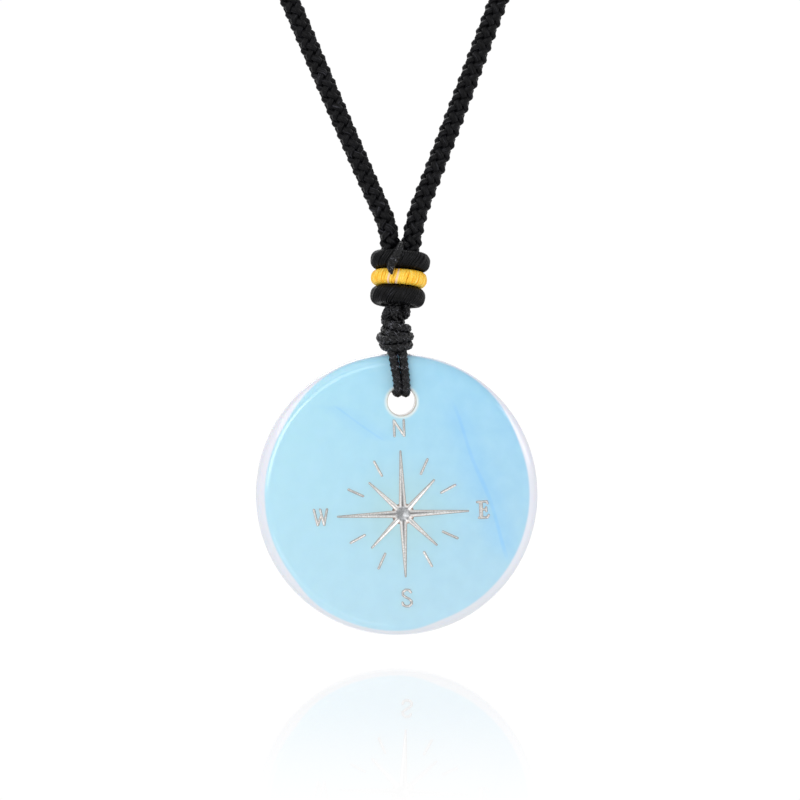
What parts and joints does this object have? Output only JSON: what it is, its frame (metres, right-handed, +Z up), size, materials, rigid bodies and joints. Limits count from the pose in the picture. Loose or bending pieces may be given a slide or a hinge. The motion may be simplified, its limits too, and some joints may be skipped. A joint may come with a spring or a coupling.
{
  "type": "compass pendant necklace",
  "caption": "Round pale blue opal glass pendant engraved with a compass rose, hung by a knotted thin cord and thread-wound rings on a braided black neck cord.",
  "frame": {"origin": "where the neck cord sits on the nape of the neck, at the back of the loop", "axes": "+Z up, the wearer faces -Y, so the engraved face of the disc looks along -Y"},
  "size_m": [0.1407, 0.1355, 0.2343],
  "materials": {
    "opal_glass": "polished opal",
    "silver_fill": "metallic paint",
    "black_braid": "braided",
    "black_thin_cord": "waxed braid",
    "black_thread": "wound thread",
    "golden_thread": "wound thread"
  },
  "bodies": {
    "cords": {"neck_cord": "black_braid", "wrap_ring_lower": "black_thread", "wrap_ring_middle": "golden_thread", "wrap_ring_upper": "black_thread", "hanger_cord": "black_thin_cord"},
    "disc": {"opal_disc": "opal_glass", "rose_star": "silver_fill", "tick_1": "silver_fill", "tick_2": "silver_fill", "tick_3": "silver_fill", "tick_4": "silver_fill", "tick_5": "silver_fill", "tick_6": "silver_fill", "tick_7": "silver_fill", "tick_8": "silver_fill", "letter_n": "silver_fill", "letter_e": "silver_fill", "letter_s": "silver_fill", "letter_w": "silver_fill"}
  },
  "joints": [
    {"name": "disc_swing", "type": "hinge", "parent": "cords", "child": "disc", "pos_m": [0.003, -0.131, -0.2085], "axis": [0, 1, 0], "range_deg": [-17, 12]}
  ]
}
